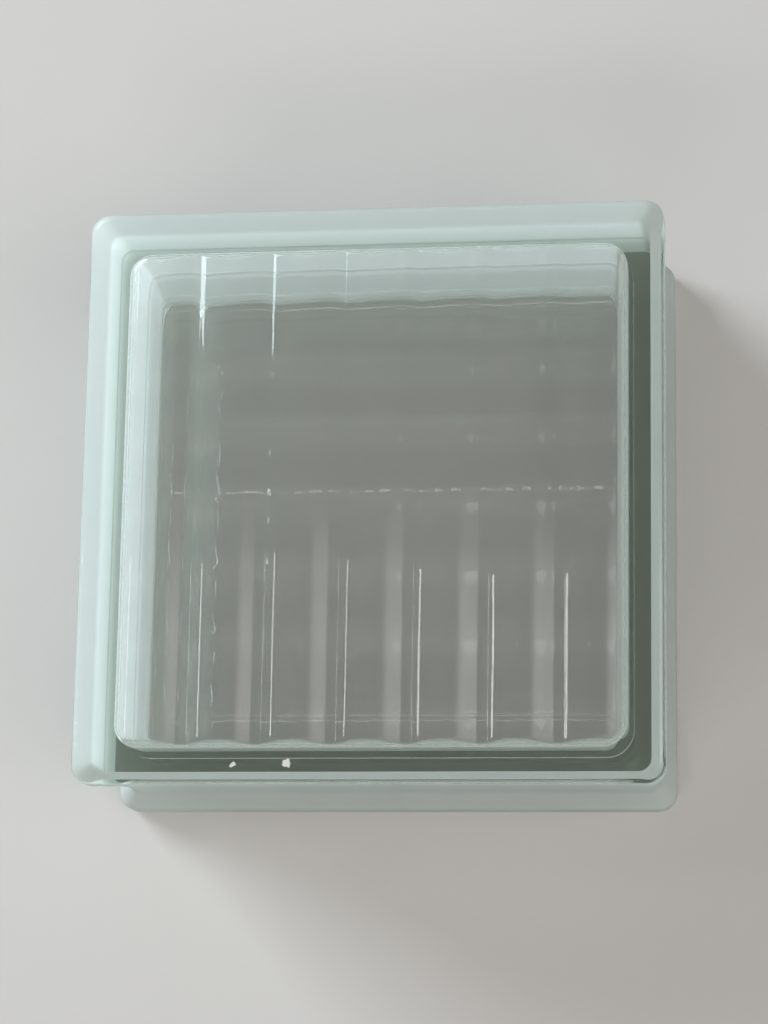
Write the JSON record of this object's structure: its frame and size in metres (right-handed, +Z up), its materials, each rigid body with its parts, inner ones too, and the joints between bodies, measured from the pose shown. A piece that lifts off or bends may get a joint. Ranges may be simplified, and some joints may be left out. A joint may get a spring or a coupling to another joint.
{
  "type": "glass block",
  "caption": "Square hollow glass block for light-passing walls, fluted inside both faces with the flutes crossed, and keyed round its sides for mortar.",
  "frame": {"origin": "centre of the lower face, on the floor that the block lies on", "axes": "+Z up through the thickness, out of the upper face; +Y along the upper face's flutes; +X across them"},
  "size_m": [0.19, 0.19, 0.08],
  "materials": {
    "glass": "clear pressed glass, faintly green in the thickness, with smooth faces and frosted pale sides"
  },
  "bodies": {
    "root": {"glass_block": "glass"}
  },
  "joints": []
}
